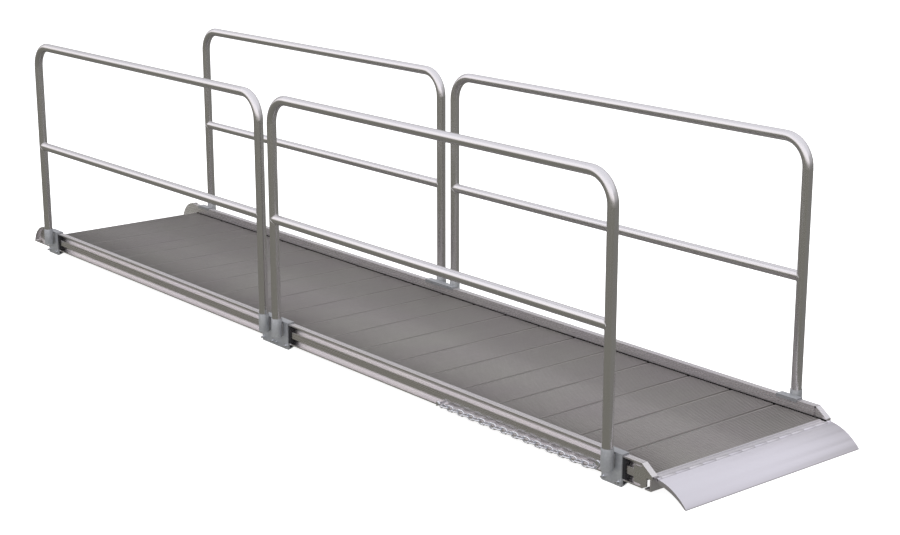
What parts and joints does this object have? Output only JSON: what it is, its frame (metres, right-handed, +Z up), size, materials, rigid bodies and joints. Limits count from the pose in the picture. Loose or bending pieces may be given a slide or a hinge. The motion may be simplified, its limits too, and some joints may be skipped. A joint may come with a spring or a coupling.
{
  "type": "portable wheelchair ramp",
  "caption": "Long straight aluminium ramp with a ribbed deck, low curbs, lift-out tubular handrails in clamp-on sockets, a hinged transition plate and a safety chain.",
  "frame": {"origin": "on the ground, under the middle of the ramp", "axes": "+X down the ramp towards the transition plate, +Y across it away from the chain's side, +Z up"},
  "size_m": [4.878, 1.072, 1.1485],
  "materials": {
    "tread": "ribbed mill finish",
    "frame": "mill finish",
    "plate": "smooth mill finish",
    "rail_tube": "satin",
    "bracket": "galvanised",
    "spacer_plastic": "moulded",
    "zinc_steel": "bright zinc plated"
  },
  "bodies": {
    "ramp": {"deck_plank_01": "tread", "deck_plank_02": "tread", "deck_plank_03": "tread", "deck_plank_04": "tread", "deck_plank_05": "tread", "deck_plank_06": "tread", "deck_plank_07": "tread", "deck_plank_08": "tread", "deck_plank_09": "tread", "deck_plank_10": "tread", "deck_plank_11": "tread", "deck_plank_12": "tread", "deck_plank_13": "tread", "deck_plank_14": "tread", "deck_plank_15": "tread", "deck_plank_16": "tread", "deck_plank_17": "tread", "deck_plank_18": "tread", "deck_plank_19": "tread", "deck_plank_20": "tread", "upper_end_lip": "tread", "side_beam_left": "frame", "side_beam_right": "frame", "nose_cap_left": "frame", "nose_cap_right": "frame", "curb_end_cap_left": "frame", "curb_end_cap_right": "frame", "lower_sill": "frame", "hinge_pin": "zinc_steel", "post_bracket_left_upper_upper": "bracket", "post_bracket_left_upper_lower": "bracket", "post_bracket_left_lower_upper": "bracket", "post_bracket_left_lower_lower": "bracket", "post_bracket_right_upper_upper": "bracket", "post_bracket_right_upper_lower": "bracket", "post_bracket_right_lower_upper": "bracket", "post_bracket_right_lower_lower": "bracket", "channel_spacer_left_upper_upper": "spacer_plastic", "channel_spacer_left_upper_lower": "spacer_plastic", "channel_spacer_left_lower_upper": "spacer_plastic", "channel_spacer_left_lower_lower": "spacer_plastic", "channel_spacer_right_upper_upper": "spacer_plastic", "channel_spacer_right_upper_lower": "spacer_plastic", "channel_spacer_right_lower_upper": "spacer_plastic", "channel_spacer_right_lower_lower": "spacer_plastic", "clamp_jaws": "bracket", "clamp_bolts": "zinc_steel", "clamp_nuts": "zinc_steel", "safety_chain_links": "zinc_steel", "chain_s_hook": "zinc_steel", "chain_studs": "zinc_steel"},
    "transition_plate": {"transition_plate": "plate"},
    "handrail_left_upper": {"handrail_hoop_left_upper": "rail_tube", "middle_rail_left_upper": "rail_tube"},
    "handrail_left_lower": {"handrail_hoop_left_lower": "rail_tube", "middle_rail_left_lower": "rail_tube"},
    "handrail_right_upper": {"handrail_hoop_right_upper": "rail_tube", "middle_rail_right_upper": "rail_tube"},
    "handrail_right_lower": {"handrail_hoop_right_lower": "rail_tube", "middle_rail_right_lower": "rail_tube"}
  },
  "joints": [
    {"name": "transition_plate_hinge", "type": "hinge", "parent": "ramp", "child": "transition_plate", "pos_m": [2.298, 0, 0.0697], "axis": [0, -1, 0], "range_deg": [0, 90]},
    {"name": "handrail_left_upper_lift", "type": "slide", "parent": "ramp", "child": "handrail_left_upper", "axis": [0, 0, 1], "range_m": [0, 0.08]},
    {"name": "handrail_left_lower_lift", "type": "slide", "parent": "ramp", "child": "handrail_left_lower", "axis": [0, 0, 1], "range_m": [0, 0.08]},
    {"name": "handrail_right_upper_lift", "type": "slide", "parent": "ramp", "child": "handrail_right_upper", "axis": [0, 0, 1], "range_m": [0, 0.08]},
    {"name": "handrail_right_lower_lift", "type": "slide", "parent": "ramp", "child": "handrail_right_lower", "axis": [0, 0, 1], "range_m": [0, 0.08]}
  ]
}
